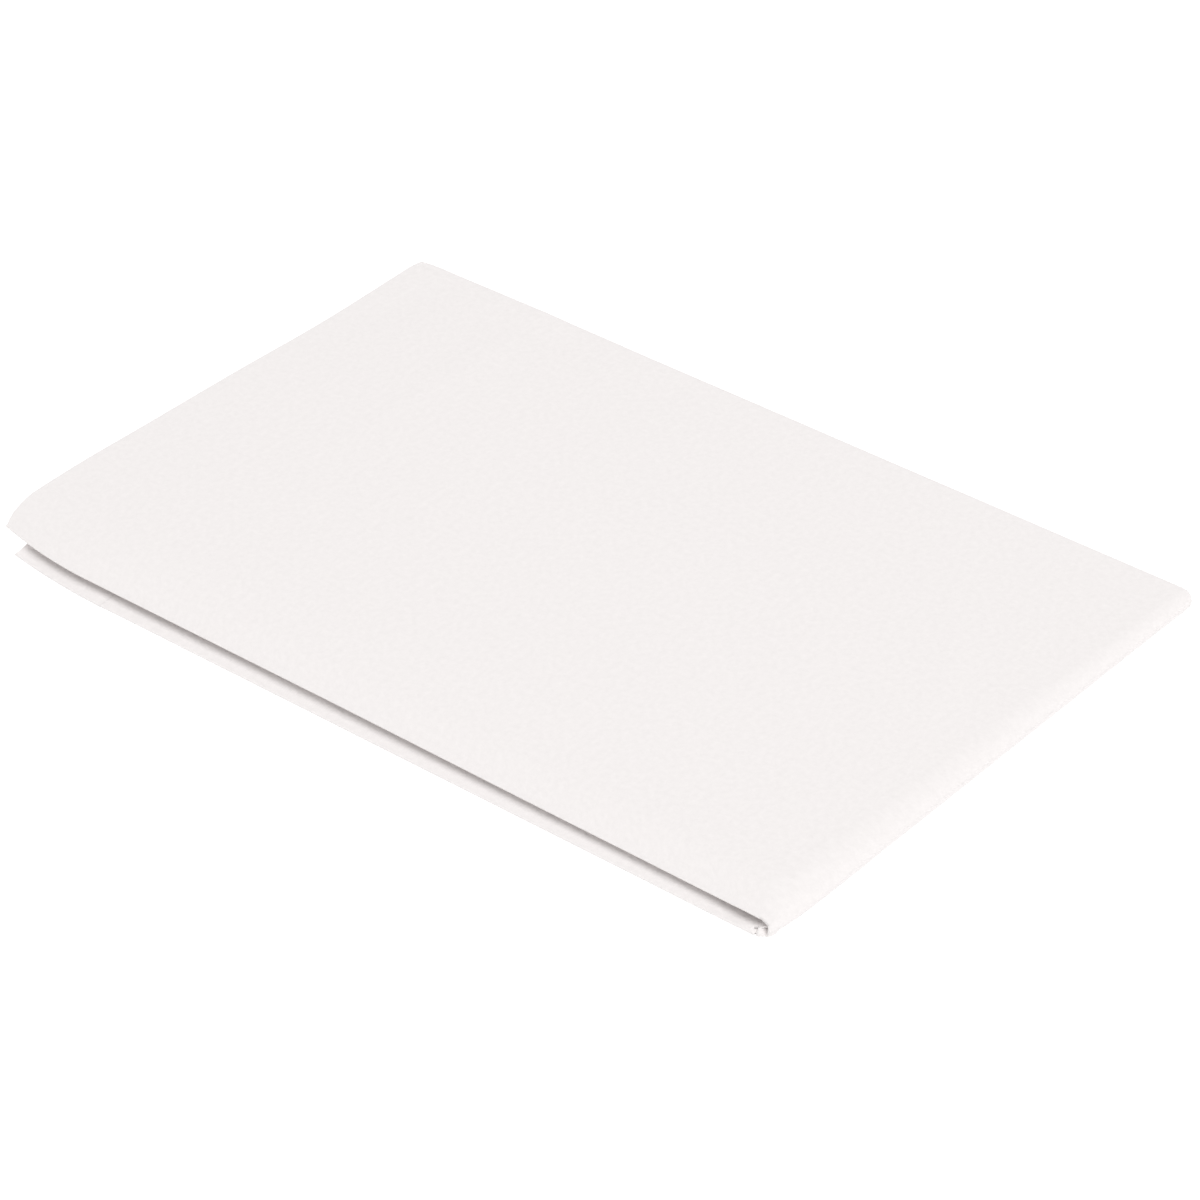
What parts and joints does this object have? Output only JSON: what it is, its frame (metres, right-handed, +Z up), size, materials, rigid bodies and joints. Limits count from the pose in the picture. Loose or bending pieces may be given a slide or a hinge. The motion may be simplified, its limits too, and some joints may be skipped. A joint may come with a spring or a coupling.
{
  "type": "pillowcase",
  "caption": "Plain cotton pillowcase, pressed flat and folded in half both ways into a thin rectangular packet of layers.",
  "frame": {"origin": "on the surface that the packet lies on, under the middle of its outline", "axes": "+Z up; +X along the packet from its open short ends to the folded spine; +Y from the crease on the front long side to the open long side"},
  "size_m": [0.3794, 0.2506, 0.0101],
  "materials": {
    "white_cotton": "matt pressed cotton percale"
  },
  "bodies": {
    "root": {"sewn_case": "white_cotton"}
  },
  "joints": []
}
